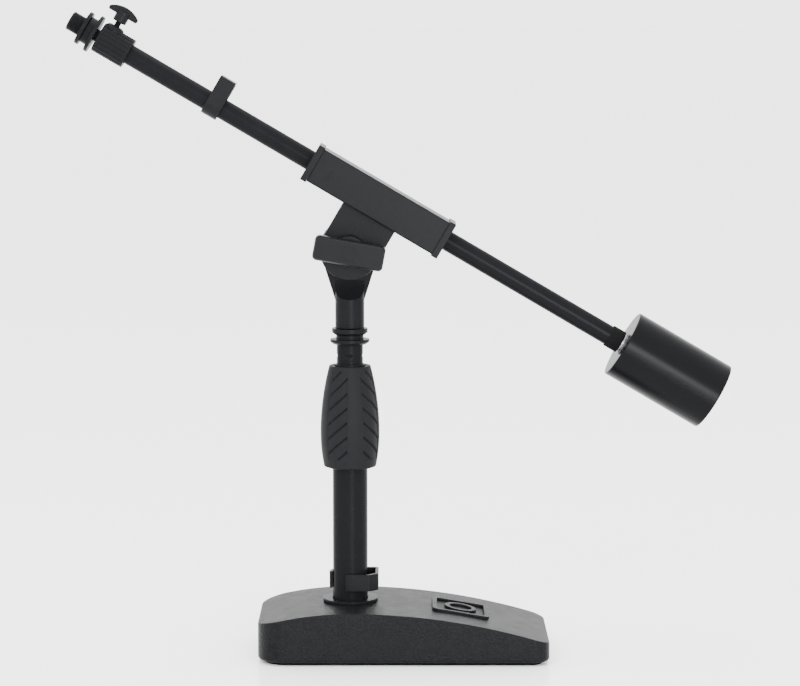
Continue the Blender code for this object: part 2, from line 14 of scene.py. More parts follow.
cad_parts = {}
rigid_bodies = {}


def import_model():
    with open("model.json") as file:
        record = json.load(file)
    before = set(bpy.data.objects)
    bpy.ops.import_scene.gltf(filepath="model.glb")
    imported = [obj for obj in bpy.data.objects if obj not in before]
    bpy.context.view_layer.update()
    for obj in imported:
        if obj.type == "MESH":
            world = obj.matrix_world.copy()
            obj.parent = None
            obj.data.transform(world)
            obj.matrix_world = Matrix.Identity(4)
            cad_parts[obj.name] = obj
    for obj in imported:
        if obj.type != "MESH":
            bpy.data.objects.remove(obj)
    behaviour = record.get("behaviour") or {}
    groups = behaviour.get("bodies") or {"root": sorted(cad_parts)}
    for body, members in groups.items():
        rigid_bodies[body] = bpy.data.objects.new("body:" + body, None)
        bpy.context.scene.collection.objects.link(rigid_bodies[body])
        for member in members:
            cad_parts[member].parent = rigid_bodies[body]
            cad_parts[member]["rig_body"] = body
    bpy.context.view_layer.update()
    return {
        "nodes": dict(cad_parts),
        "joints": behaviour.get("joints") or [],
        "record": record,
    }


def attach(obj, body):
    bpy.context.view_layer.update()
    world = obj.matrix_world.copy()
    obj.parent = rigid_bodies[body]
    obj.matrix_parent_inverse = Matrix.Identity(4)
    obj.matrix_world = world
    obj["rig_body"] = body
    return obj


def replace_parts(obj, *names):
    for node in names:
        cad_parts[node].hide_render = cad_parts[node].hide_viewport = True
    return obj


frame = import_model()

MM = 0.001
SEGMENTS = 96
FIT_GAP = 0.3       # between a piece and the hole it sits in
PAST = 5.0          # how far a cutting tool runs past what it cuts

# Base
BASE_CREST = 42.2
BASE_LEFT_ARCH = 262.0
BASE_RIGHT_ARCH = 525.0
BASE_LEFT_CORNER = 20.0
BASE_RIGHT_CORNER = 12.0
BASE_TOP_EDGE = 1.1
BASE_FOOT_EDGE = 3.0
BASE_TOP_RINGS = 32
BASE_SIDE_STEP = 4.0
BADGE_X = 88.5
BADGE_SIZE = 46.0
BADGE_CORNER = 4.0
BADGE_INNER_CORNER = 2.5
BADGE_RIM = 3.8
BADGE_RISE = 2.0
BADGE_ROOT = 1.5
BADGE_RING_RADIUS = 13.0
BADGE_RING_WIDTH = 4.0

# Cable clips; the mouths are cut out of the band in its own plan
CLIP_WALL = 2.5
CLIP_SLOPE = 5.0
BOOM_CLIP_WALL = 2.3
BOOM_CLIP_SLOPE = 0.8
CLIP_MOUTH = [(-40, -2), (-3.7, -2), (-3.7, -40), (-40, -40)]
BOOM_CLIP_MOUTH = [(-40, -2), (3.7, -2), (3.7, -40), (-40, -40)]

# Crimp dimples that hold the riser's top plug
CRIMP_BELOW_TOP = 9.0
CRIMP_TURNS = (-95, 5, 175)
CRIMP_HALF_WIDTH = 3.4
CRIMP_HALF_HEIGHT = 0.8
CRIMP_DEPTH = 0.95
CRIMP_REACH = 4.0
RISER_SKIN = 10.0   # what lies inside this radius isn't crimped

# Collet lip, as (radius, length), and the riser's top plug and its lock ring
COLLET_FOOT = (14.6, 1.6)
COLLET_LIP = (12.0, 2.6)
RISER_PLUG = 9.0
RISER_FLANGE_FOOT = 13.4
RISER_FLANGE_BEVEL = 1.8
RISER_FLANGE_TOP = 254.2
RISER_HUB_TOP = 257.7
RISER_RING_FOOT = 12.2
RISER_RING_BEVEL = 1.6

# Twist grip; its top is dished round the riser, given as (radius, drop) pairs
GRIP_ROWS = 180
GRIP_SEGMENTS = 320
GRIP_DISH = [(14.6, 0.15), (12.4, 0.5), (12.4, 1.1), (14.9, 5.0)]
GRIP_CROWN_EDGE = 0.35
GRIP_FOOT_LIP = 1.5
GRIP_TAPER = (174, 170)     # heights between which the bore widens to the tube's
GRIP_SKIN = 15.5    # what lies inside this radius isn't grooved
GRIP_WAIST = 178.9
GRIP_RADIUS = 23.6
GRIP_UPPER_ARCH = 206.0
GRIP_LOWER_ARCH = 134.0
GRIP_SHOULDER = 2.0
BAND_TURN = 11.7
PANEL_START = 16.0
PANEL_END = 63.0
PANEL_BOTTOM = 158.5
PANEL_TOP = 230.5
PANEL_FADE = 1.5
PANEL_END_FADE = 4.0
GROOVE_TOP = 224.5
GROOVE_PITCH = 11.6
GROOVE_COUNT = 6
GROOVE_DROP = 15.0
GROOVE_HALF = 1.3
GROOVE_DEPTH = 1.3
PANEL_DEPTH = 0.2
SHINGLE_DEPTH = 0.55

# Head and its pivot bolt
EAR_FACE = 0.9
EAR_TRIM = 0.05
EAR_ROUND = (-32, 212)
EAR_FLARE_DROP = 40.7
NECK_TOP_DROP = 24.5
SCOOP_DROP = 39.3
SCOOP_RISE = 18.0
STUD_ROOM = 1.0
BOLT_RADIUS = 4.0
BOLT_HEAD = 8.0
BOLT_HEAD_FACE = 6.6
BOLT_HEAD_BEVEL = 1.2
BOLT_HEAD_RISE = 3.0
BOLT_HEAD_ROOM = 8.5
BOLT_HEAD_SEAT = -7.5
HEX_RADIUS = 3.4
HEX_DEPTH = 2.2

# Tilt handle; the pocket is (radius, low, high), the ring its two radii
HANDLE_LEAN = 10.4
HANDLE_LENGTH = 56.0
HANDLE_HEIGHT = 19.7
HANDLE_BACK = 25.0
HANDLE_CORNER = 3.6
HANDLE_CROWN = 1.4
HANDLE_CROWN_START = 0.8
HANDLE_BACK_EDGE = 0.8
HANDLE_BACK_SHARE = 0.15
HANDLE_HUB = 12.5
HANDLE_POCKET = (6.8, -20, 32)
HANDLE_RING = (5.2, 6.4)
HANDLE_RING_DEPTH = 0.35

# Cradle; the snap slot's place is from the block's upper end and the boom's axis
CRADLE_CORNER = 1.5
TONGUE_HALF = 23.5
TONGUE_FACES = (0.9, 11.6)
SNAP_SLOT = (1.2, 9.0)
SNAP_DEPTH = 0.6
SNAP_PLACE = (13.2, -2.3)
CAP_CORNER = 1.2
CAP_GAP = 0.05
CAP_BORE = 8.4
CAP_SPIGOT = 12.0

# Boom; stretches along it are measured from its roll joint
BOOM_BORE = 8.3
WEIGHT_BORE_DEPTH = 39.5
WEIGHT_EDGE = 1.3
FLUTE_COUNT = 20
FLUTE_DEPTH = 0.8
FLUTE_FADE = 1.2
FLUTE_MARGIN = 0.9
COLLAR_SKIN = 11.0  # what lies inside this radius isn't fluted
SHANK_RADIUS = 5.0
MIC_FLANGE_BACK = -257.8
MIC_FLANGE_FRONT = -260.7
MIC_HUB_FRONT = -266.3

# Thumb screw, in heights above the boom's axis
THUMB_DROP = 20.0
BOSS_PROFILE = [(0, 8.6), (8.2, 8.6), (8.2, 10.8), (7.0, 13.2), (5.2, 14.2), (0, 14.2)]
KNOB_PROFILE = [(0, 17.8), (5.0, 17.8), (5.5, 18.6), (5.5, 27), (0, 27)]
WING_FOOT = [(-12.5, 24.4), (-11.8, 23.4), (11.8, 23.4), (12.5, 24.4), (12.5, 26.4)]
WING_CROWN = (0, 10.4, 20.2, 53, 127)   # an arc's centre, radius and two angles
WING_HALF = 2.6
ROD_RADIUS = 2.5
ROD_HOLE = (2.1, 30)
KNOB_HOLE = (10, 23.7)

# Threads, 27 turns to the inch
THREAD_PITCH = 25.4 / 27
THREAD_DEPTH = 0.45
THREAD_RADIUS = 7.95
THREAD_TIP = 7.0
THREAD_BEVEL = 1.0
THREAD_BORE = 8.3
THREAD_ROW = 0.2
HUB_RADIUS = 11.0

# Camera, in metres and degrees
CAMERA_PLACE = (0.040, -2.2, 0.517)
CAMERA_PITCH = 6.9
CAMERA_LENS = 125.0

# Studio: a light's name, place and size in metres, and watts
SKY = 3.6
FLOOR_RADIUS = 60000.0
LIGHT_AIM = (0.05, 0, 0.25)
LIGHTS = [("front", (0.62, -2.5, 0.45), (0.8, 0.7), 60),
          ("key", (-0.9, -1.9, 1.8), (0.8, 0.6), 30),
          ("top", (0.1, 0.1, 2.6), (1.8, 1.8), 60)]

SLOTS = {part["node"]: part["material_slot"] for part in frame["record"]["subparts"]}
JOINTS = {joint["name"]: joint for joint in frame["joints"]}


# ---------------------------------------------------------------- axes

def axes(origin, x, y, z):
    """A matrix from three unit axes and an origin in metres."""
    turn = Matrix((x, y, z)).transposed().to_4x4()
    return Matrix.Translation(origin) @ turn


Y_AXIS = Vector((0, 1, 0))
ALONG = Vector(JOINTS["boom_slide"]["axis"]).normalized()
ACROSS = ALONG.cross(Y_AXIS)
PIVOT = Vector(JOINTS["boom_tilt"]["pos_m"])
BOOM_MIDDLE = Vector(JOINTS["boom_roll"]["pos_m"])
FORWARD = Matrix.Rotation(math.radians(90), 4, "X")
STAND = Matrix.Identity(4)
HEAD = Matrix.Translation(PIVOT)
CRADLE = axes(PIVOT, ALONG, Y_AXIS, ACROSS)
BOX = axes(BOOM_MIDDLE, ALONG, Y_AXIS, ACROSS)
BOOM = axes(BOOM_MIDDLE, -ACROSS, Y_AXIS, ALONG)
THUMB = axes(Vector(JOINTS["thumb_screw_turn"]["pos_m"]), ALONG, Y_AXIS, ACROSS)


def extent(node, place=STAND):
    """Lowest and highest corner of a CAD node in a place's own axes."""
    back = place.inverted()
    points = [back @ vertex.co / MM for vertex in frame["nodes"][node].data.vertices]
    low = Vector([min(point[i] for point in points) for i in range(3)])
    high = Vector([max(point[i] for point in points) for i in range(3)])
    return low, high


# ---------------------------------------------------------------- shape tools

def arc(cx, cy, radius, start, end, steps):
    """Points on a circle between two angles in degrees."""
    angles = [math.radians(start + (end - start) * i / steps) for i in range(steps + 1)]
    return [(cx + radius * math.cos(a), cy + radius * math.sin(a)) for a in angles]


def rounded_rectangle(width, height, radius, steps=8):
    """Outline about the origin, each corner an arc."""
    x = width / 2 - radius
    y = height / 2 - radius
    corners = ((x, y, 0), (-x, y, 90), (-x, -y, 180), (x, -y, 270))
    return [point for cx, cy, start in corners for point in arc(cx, cy, radius, start, start + 90, steps)]


def ring_section(bore, radius, low, high):
    """Section of a plain ring or washer, as (radius, height) points."""
    return [(bore, low), (radius, low), (radius, high), (bore, high)]


def fillet(outline, radius, steps=3, axis=False):
    """A closed outline with soft corners; corners on a turning axis stay sharp."""
    soft = []
    count = len(outline)
    for i, corner in enumerate(outline):
        here = Vector(corner)
        back = Vector(outline[i - 1]) - here
        ahead = Vector(outline[(i + 1) % count]) - here
        opening = back.angle(ahead)
        if (axis and here.x == 0) or opening > math.radians(172):
            soft.append(tuple(here))
            continue
        reach = min(radius / math.tan(opening / 2), 0.45 * back.length, 0.45 * ahead.length)
        start = here + back.normalized() * reach
        end = here + ahead.normalized() * reach
        for k in range(steps + 1):
            t = k / steps
            soft.append(tuple(start * (1 - t) ** 2 + here * 2 * t * (1 - t) + end * t * t))
    return soft


def dense(outline, step, span=(-math.inf, math.inf)):
    """A closed outline with no stretch longer than step at the heights in span."""
    points = []
    for start, end in zip(outline, outline[1:] + outline[:1]):
        start, end = Vector(start), Vector(end)
        parts = max(1, math.ceil((end - start).length / step))
        steps = [tuple(start.lerp(end, i / parts)) for i in range(parts)]
        points += steps[:1] + [point for point in steps[1:] if span[0] < point[1] < span[1]]
    return points


def make_object(name, shape, place):
    """Turn a bmesh in millimetres into an object whose mesh holds its place."""
    bmesh.ops.recalc_face_normals(shape, faces=shape.faces)
    if shape.calc_volume(signed=True) < 0:
        bmesh.ops.reverse_faces(shape, faces=shape.faces)
    bmesh.ops.scale(shape, vec=(MM, MM, MM), verts=shape.verts)
    shape.transform(place)
    mesh = bpy.data.meshes.new(name)
    shape.to_mesh(mesh)
    shape.free()
    item = bpy.data.objects.new(name, mesh)
    bpy.context.scene.collection.objects.link(item)
    return item


def turned(name, outline, place=STAND, steps=SEGMENTS, relief=None):
    """A body of revolution about local Z; relief(angle, height, radius) sinks its surface."""
    shape = bmesh.new()
    rings = []
    for radius, height in outline:
        if radius < 1e-6:
            rings.append([shape.verts.new((0, 0, height))])
            continue
        ring = []
        for i in range(steps):
            angle = math.tau * i / steps
            r = radius - (relief(angle, height, radius) if relief else 0)
            ring.append(shape.verts.new((r * math.cos(angle), r * math.sin(angle), height)))
        rings.append(ring)
    for ring, following in zip(rings, rings[1:] + rings[:1]):
        if len(ring) == 1 and len(following) == 1:
            continue
        for i in range(steps):
            j = (i + 1) % steps
            corners = [ring[i % len(ring)], ring[j % len(ring)],
                       following[j % len(following)], following[i % len(following)]]
            shape.faces.new(list(dict.fromkeys(corners)))
    return make_object(name, shape, place)


def plug(name, radius, low, high, place=STAND, steps=SEGMENTS):
    """A plain round body between two heights, mostly used as a cutting tool."""
    return turned(name, ring_section(0, radius, low, high), place, steps)


def prism(name, outline, low, high, place=STAND):
    """A flat outline in local X and Y, extruded along local Z."""
    shape = bmesh.new()
    face = shape.faces.new([shape.verts.new((x, y, low)) for x, y in outline])
    raised = bmesh.ops.extrude_face_region(shape, geom=[face])["geom"]
    moved = [item for item in raised if isinstance(item, bmesh.types.BMVert)]
    bmesh.ops.translate(shape, verts=moved, vec=(0, 0, high - low))
    return make_object(name, shape, place)


def bake(item):
    """Apply every modifier, so that the mesh is final."""
    bpy.context.view_layer.update()
    evaluated = item.evaluated_get(bpy.context.evaluated_depsgraph_get())
    mesh = bpy.data.meshes.new_from_object(evaluated)
    item.modifiers.clear()
    item.data = mesh
    return item


def combine(item, tool, operation="DIFFERENCE"):
    """Cut or join with a tool, which is used up; done in millimetres, where fine edges hold."""
    for part in (item, tool):
        part.data.transform(Matrix.Scale(1 / MM, 4))
    step = item.modifiers.new("combine", "BOOLEAN")
    step.operation = operation
    step.solver = "EXACT"
    step.object = tool
    bake(item)
    item.data.transform(Matrix.Scale(MM, 4))
    bpy.data.objects.remove(tool, do_unlink=True)
    return item


def soften(item, width, segments=3, angle=38):
    """Round every edge sharper than angle."""
    step = item.modifiers.new("edges", "BEVEL")
    step.width = width * MM
    step.segments = segments
    step.limit_method = "ANGLE"
    step.angle_limit = math.radians(angle)
    return bake(item)


def smooth(item, angle=35):
    """Smooth shading that stops at every edge sharper than angle."""
    item.data.shade_smooth()
    item.data.set_sharp_from_angle(angle=math.radians(angle))
    step = item.modifiers.new("normals", "WEIGHTED_NORMAL")
    step.keep_sharp = True
    return bake(item)


def stand_for(item, node, material, angle=35):
    """Finish a piece and put it in the place of its CAD node."""
    smooth(item, angle)
    item.data.materials.clear()
    item.data.materials.append(material)
    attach(item, frame["nodes"][node]["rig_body"])
    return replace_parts(item, node)


def loft(name, rings, place=STAND):
    """A closed body through rings of equal count, with its two ends filled."""
    shape = bmesh.new()
    rows = [[shape.verts.new(point) for point in ring] for ring in rings]
    for row, following in zip(rows, rows[1:]):
        for i in range(len(row)):
            j = (i + 1) % len(row)
            shape.faces.new((row[i], row[j], following[j], following[i]))
    shape.faces.new(rows[0])
    shape.faces.new(rows[-1])
    return make_object(name, shape, place)


def thread_relief(low, high):
    """A cut thread between two heights, fading out at its ends."""
    def relief(angle, height, radius):
        if radius < 2 or not low < height < high:
            return 0
        turn = (height / THREAD_PITCH - angle / math.tau) % 1
        fade = min(1, (height - low) / THREAD_PITCH, (high - height) / THREAD_PITCH)
        return THREAD_DEPTH * abs(2 * turn - 1) * fade
    return relief


# ---------------------------------------------------------------- materials

def procedural(name, dark, light, rough, specular, metallic=0.0, grain=1400.0, bump=0.12, depth=0.08,
               cloud=45.0, stretch=(1, 1, 1)):
    """Painted, moulded or turned surface: soft colour clouds, varied gloss and a fine grain.

    dark and light are the two ends of its colour, rough the two ends of its
    roughness.  grain and cloud are in features a metre, depth in millimetres.
    """
    material = bpy.data.materials.new(name)
    material.use_nodes = True
    nodes = material.node_tree.nodes
    link = material.node_tree.links.new
    shader = nodes["Principled BSDF"]
    shader.inputs["Metallic"].default_value = metallic
    shader.inputs["Specular IOR Level"].default_value = specular
    place = nodes.new("ShaderNodeTexCoord")
    mapping = nodes.new("ShaderNodeMapping")
    mapping.inputs["Scale"].default_value = stretch
    link(place.outputs["Object"], mapping.inputs["Vector"])
    clouds = nodes.new("ShaderNodeTexNoise")
    clouds.inputs["Scale"].default_value = cloud
    clouds.inputs["Detail"].default_value = 5.0
    link(mapping.outputs["Vector"], clouds.inputs["Vector"])
    speck = nodes.new("ShaderNodeTexNoise")
    speck.inputs["Scale"].default_value = grain
    speck.inputs["Detail"].default_value = 3.0
    link(mapping.outputs["Vector"], speck.inputs["Vector"])
    blend = nodes.new("ShaderNodeMath")
    blend.operation = "MULTIPLY_ADD"
    blend.inputs[1].default_value = 0.75
    link(speck.outputs["Fac"], blend.inputs[0])
    share = nodes.new("ShaderNodeMath")
    share.operation = "MULTIPLY"
    share.inputs[1].default_value = 0.25
    link(clouds.outputs["Fac"], share.inputs[0])
    link(share.outputs["Value"], blend.inputs[2])
    colour = nodes.new("ShaderNodeValToRGB")
    colour.color_ramp.elements[0].position = 0.35
    colour.color_ramp.elements[0].color = (*dark, 1)
    colour.color_ramp.elements[1].position = 0.65
    colour.color_ramp.elements[1].color = (*light, 1)
    link(blend.outputs["Value"], colour.inputs["Fac"])
    link(colour.outputs["Color"], shader.inputs["Base Color"])
    gloss = nodes.new("ShaderNodeMapRange")
    gloss.inputs["From Min"].default_value = 0.3
    gloss.inputs["From Max"].default_value = 0.7
    gloss.inputs["To Min"].default_value = rough[0]
    gloss.inputs["To Max"].default_value = rough[1]
    link(clouds.outputs["Fac"], gloss.inputs["Value"])
    link(gloss.outputs["Result"], shader.inputs["Roughness"])
    relief = nodes.new("ShaderNodeBump")
    relief.inputs["Strength"].default_value = bump
    relief.inputs["Distance"].default_value = depth * MM
    link(speck.outputs["Fac"], relief.inputs["Height"])
    link(relief.outputs["Normal"], shader.inputs["Normal"])
    return material


def make_materials():
    """One material for each finish in the record."""
    return {
        "cast_iron_powder_coat": procedural("powder_coat", (0.0015, 0.0016, 0.0021), (0.0055, 0.0057, 0.0066),
                                            (0.36, 0.42), 0.06, grain=620, bump=1.0, depth=0.6, cloud=90),
        "satin_black_tube": procedural("satin_tube", (0.0045, 0.0046, 0.0053), (0.006, 0.0062, 0.007),
                                       (0.24, 0.28), 0.022, grain=1300, bump=0.15, depth=0.03, cloud=120),
        "gloss_black_paint": procedural("gloss_paint", (0.0028, 0.0029, 0.0034), (0.0036, 0.0037, 0.0043),
                                        (0.25, 0.27), 0.045, grain=900, bump=0.04, depth=0.01, cloud=60),
        "black_oxide_steel": procedural("black_metal", (0.0045, 0.0046, 0.0053), (0.0065, 0.0067, 0.0076),
                                        (0.3, 0.36), 0.03, grain=1500, bump=0.25, depth=0.04, cloud=160),
        "zinc_steel": procedural("zinc", (0.42, 0.42, 0.44), (0.58, 0.58, 0.6), (0.28, 0.4), 0.5,
                                 metallic=1.0, grain=1800, bump=0.25, depth=0.04, cloud=200),
        "matte_black_nylon": procedural("nylon", (0.0038, 0.0039, 0.0046), (0.0058, 0.006, 0.0068),
                                        (0.34, 0.4), 0.055, grain=1700, bump=0.3, depth=0.05, cloud=150),
        "soft_grip": procedural("grip", (0.006, 0.0062, 0.007), (0.0085, 0.0087, 0.0097),
                                (0.5, 0.58), 0.04, grain=2000, bump=0.3, depth=0.05, cloud=150),
        "rubber": procedural("rubber", (0.003, 0.003, 0.0032), (0.005, 0.005, 0.0053),
                             (0.72, 0.82), 0.04, grain=1600, bump=0.5, depth=0.08, cloud=120),
        "natural_nylon": procedural("pale_nylon", (0.6, 0.58, 0.53), (0.7, 0.68, 0.63),
                                    (0.42, 0.52), 0.4, grain=1500, bump=0.2, depth=0.04, cloud=90),
        "fibre": procedural("fibre", (0.1, 0.05, 0.025), (0.18, 0.1, 0.05),
                            (0.7, 0.85), 0.2, grain=1100, bump=0.5, depth=0.08, cloud=150, stretch=(1, 4, 1)),
    }


FINISH = make_materials()


def finish_of(node):
    """The material that the record gives a node."""
    return FINISH[SLOTS[node]]


# ---------------------------------------------------------------- base

def base_height(x, crest):
    """Height of the arched top: two arcs that meet at the column."""
    arch = BASE_LEFT_ARCH if x < 0 else BASE_RIGHT_ARCH
    return crest - arch + math.sqrt(arch * arch - x * x)


def base_plan(left, right, half, steps=12):
    """Plan of the base, with its long sides divided."""
    near, far = BASE_LEFT_CORNER, BASE_RIGHT_CORNER
    plan = []
    for cx, cy, radius, start in ((right - far, half - far, far, 0), (left + near, half - near, near, 90),
                                  (left + near, near - half, near, 180), (right - far, far - half, far, 270)):
        plan += arc(cx, cy, radius, start, start + 90, steps)
    return dense(plan, BASE_SIDE_STEP)


def base_rings(left, right, half, low, crest):
    """Closed rings from the foot edge up the sides and in over the top."""
    full = base_plan(left, right, half)
    middle = (left + right) / 2
    wide = (right - left) / 2
    turns = 4

    def inset(amount):
        return [(middle + (x - middle) * (1 - amount / wide), y * (1 - amount / half)) for x, y in full]

    rings = []
    for i in range(turns + 1):
        a = math.radians(90 * i / turns)
        step = BASE_FOOT_EDGE
        rings.append([(x, y, low + step * (1 - math.cos(a))) for x, y in inset(step * (1 - math.sin(a)))])
    for i in range(turns + 1):
        a = math.radians(90 * i / turns)
        step = BASE_TOP_EDGE
        rings.append([(x, y, base_height(x, crest) - step * (1 - math.sin(a)))
                      for x, y in inset(step * (1 - math.cos(a)))])
    rim = inset(BASE_TOP_EDGE)
    for i in range(1, BASE_TOP_RINGS):
        share = 1 - i / BASE_TOP_RINGS
        ring = [(middle + (x - middle) * share, y * share) for x, y in rim]
        rings.append([(x, y, base_height(x, crest)) for x, y in ring])
    return rings


def make_base():
    """Arched casting with a seat for the flange and a socket for the column."""
    low, high = extent("base_casting")
    crest = BASE_CREST
    casting = loft("base_casting_body", base_rings(low.x, high.x, high.y, low.z, crest))
    flange_low, flange_high = extent("column_flange")
    tube_low, tube_high = extent("outer_tube")
    combine(casting, plug("seat", flange_high.x + 2 * FIT_GAP, flange_low.z - FIT_GAP, crest + PAST))
    combine(casting, plug("socket", tube_high.x + FIT_GAP, tube_low.z - FIT_GAP, crest + 1))
    stand_for(casting, "base_casting", finish_of("base_casting"), 40)
    make_badge(crest)


def make_badge(crest):
    """Raised square frame with a plain ring, leaning with the top."""
    lean = math.asin(BADGE_X / BASE_RIGHT_ARCH)
    at = Vector((BADGE_X, 0, base_height(BADGE_X, crest))) * MM
    place = Matrix.Translation(at) @ Matrix.Rotation(lean, 4, "Y")
    inside = BADGE_SIZE - 2 * BADGE_RIM
    square = rounded_rectangle(BADGE_SIZE, BADGE_SIZE, BADGE_CORNER)
    opening = rounded_rectangle(inside, inside, BADGE_INNER_CORNER)
    rim = prism("badge_frame", square, -BADGE_ROOT, BADGE_RISE, place)
    combine(rim, prism("hollow", opening, -BADGE_ROOT - PAST, BADGE_RISE + PAST, place))
    soften(rim, 0.5)
    outer = BADGE_RING_RADIUS
    section = ring_section(outer - BADGE_RING_WIDTH, outer, -BADGE_ROOT, BADGE_RISE)
    ring = turned("badge_ring", fillet(section, 0.6), place)
    for item in (rim, ring):
        smooth(item)
        item.data.materials.append(finish_of("base_casting"))
        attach(item, "stand")


# ---------------------------------------------------------------- column

def tube(name, node, place, relief=None, steps=SEGMENTS, edge=0.3, step=None, span=None):
    """A tube with the length and radius of its CAD node."""
    low, high = extent(node, place)
    back = place.inverted()
    bore = min(math.hypot(*(back @ vertex.co / MM).xy) for vertex in frame["nodes"][node].data.vertices)
    section = fillet(ring_section(bore, high.y, low.z, high.z), edge)
    if step:
        section = dense(section, step, span)
    return stand_for(turned(name, section, place, steps, relief), node, finish_of(node))


def crimp_relief(height_of, turns):
    """Shallow crimp dimples at one height, at the given angles in degrees."""
    def relief(angle, height, radius):
        sunk = 0
        for turn in turns:
            off = (math.degrees(angle) - turn + 180) % 360 - 180
            across = math.radians(off) * radius / CRIMP_HALF_WIDTH
            up = (height - height_of) / CRIMP_HALF_HEIGHT
            sunk += CRIMP_DEPTH * math.exp(-across ** 4 - up * up)
        return sunk if radius > RISER_SKIN else 0
    return relief


def grip_radius(z):
    """Barrel outside of the twist grip."""
    rise = z - GRIP_WAIST
    arch = GRIP_UPPER_ARCH if rise > 0 else GRIP_LOWER_ARCH
    return GRIP_RADIUS - rise * rise / (2 * arch)


def grip_relief(low, high):
    """Slanted grooves in panels either side of a smooth band, front and back."""
    def relief(angle, height, radius):
        if radius < GRIP_SKIN or not low < height < high:
            return 0
        off = (math.degrees(angle) + 90 - BAND_TURN + 90) % 180 - 90
        across = abs(off)
        inside = min(1, max(0, (across - PANEL_START) / PANEL_FADE))
        inside *= min(1, max(0, (PANEL_END - across) / PANEL_END_FADE))
        inside *= min(1, (high - height) / PANEL_FADE) * min(1, (height - low) / PANEL_FADE)
        along = (across - PANEL_START) / (PANEL_END - PANEL_START)
        drop = GROOVE_TOP + GROOVE_PITCH - GROOVE_DROP * along - height
        nearest = min(abs(drop - k * GROOVE_PITCH) for k in range(GROOVE_COUNT + 1))
        groove = max(0, 1 - nearest / GROOVE_HALF)
        shingle = 1 - drop / GROOVE_PITCH % 1
        return inside * (PANEL_DEPTH + SHINGLE_DEPTH * shingle + GROOVE_DEPTH * groove)
    return relief


def make_grip():
    """The outside is dense enough for the slanted grooves, the inside is plain."""
    low, high = extent("clutch_grip")
    core_high = extent("clutch_core")[1]
    mouth = extent("outer_tube")[1].x + FIT_GAP
    inside = core_high.x + FIT_GAP
    foot = low.z + GRIP_SHOULDER
    heights = [foot + (high.z - 0.5 - foot) * i / GRIP_ROWS for i in range(GRIP_ROWS + 1)]
    outline = [(mouth, low.z), (mouth + GRIP_FOOT_LIP, low.z), (grip_radius(foot) - 0.3, foot - 0.3)]
    outline += [(grip_radius(z), z) for z in heights]
    outline += [(grip_radius(high.z) - GRIP_CROWN_EDGE, high.z)]
    outline += [(radius, high.z - drop) for radius, drop in GRIP_DISH]
    outline += [(inside, core_high.z + 2), (inside, GRIP_TAPER[0]), (mouth, GRIP_TAPER[1])]
    relief = grip_relief(PANEL_BOTTOM, PANEL_TOP)
    grip = turned("clutch_grip_barrel", outline, STAND, GRIP_SEGMENTS, relief)
    stand_for(grip, "clutch_grip", finish_of("clutch_grip"), 50)


def clip_path(radius, reach, half, corner, slope, steps=24):
    """Half round on the tube side, soft corners and a sloping front on the cable side."""
    front = arc(reach - slope - corner, corner - half, corner, -90, -45, 4)
    side = arc(reach - corner, slope + corner - half, corner, -45, 0, 4)
    back = arc(reach - corner, half - corner, corner, 0, 90, 6)
    return arc(0, 0, radius, 90, 270, steps) + front + side + back


def make_clip(node, tube_node, wall, place, mouth, slope):
    """Snap-on cable clip: a band round its tube with a cable loop beside it."""
    low, high = extent(node, place)
    bore = extent(tube_node, place)[1].y + FIT_GAP
    reach = max(abs(low.x), abs(high.x))
    half = bore + wall
    bottom, top = low.z - PAST, high.z + PAST
    outside = clip_path(half, reach, half, wall + 0.5, slope)
    inside = clip_path(bore, reach - wall, half - wall, 0.8, slope)
    clip = prism(node + "_band", outside, low.z, high.z, place)
    combine(clip, prism("hollow", inside, bottom, top, place))
    combine(clip, prism("gap", mouth, bottom, top, place))
    soften(clip, 0.45)
    return stand_for(clip, node, finish_of(node))


def turned_piece(name, node, outline, place=STAND, edge=0.35, relief=None, step=None, steps=SEGMENTS,
                 span=(-math.inf, math.inf)):
    """A turned piece with soft corners in the place of a node."""
    section = fillet(outline, edge, axis=True)
    if step:
        section = dense(section, step, span)
    return stand_for(turned(name, section, place, steps, relief), node, finish_of(node))


def make_column():
    """Flange, both tubes, collet lip, grip, cable clip and the riser's top."""
    low, high = extent("column_flange")
    bore = extent("outer_tube")[1].x + FIT_GAP
    turned_piece("column_flange_ring", "column_flange", ring_section(bore, high.x, low.z, high.z), edge=0.8)
    tube("outer_tube_wall", "outer_tube", STAND)
    riser = extent("inner_tube")
    crimp = riser[1].z - CRIMP_BELOW_TOP
    dimples = crimp_relief(crimp, CRIMP_TURNS)
    tube("inner_tube_wall", "inner_tube", STAND, dimples, steps=160, edge=0.25, step=0.3,
         span=(crimp - CRIMP_REACH, crimp + CRIMP_REACH))
    low, high = extent("clutch_collet")
    bore = riser[1].x + FIT_GAP
    foot, foot_rise = COLLET_FOOT
    lip, lip_drop = COLLET_LIP
    turned_piece("clutch_collet_lip", "clutch_collet",
                 [(bore, low.z), (foot, low.z), (foot, low.z + foot_rise),
                  (lip, high.z - lip_drop), (lip, high.z), (bore, high.z)])
    make_grip()
    make_clip("column_clip", "outer_tube", CLIP_WALL, STAND, CLIP_MOUTH, CLIP_SLOPE)
    make_riser_top()


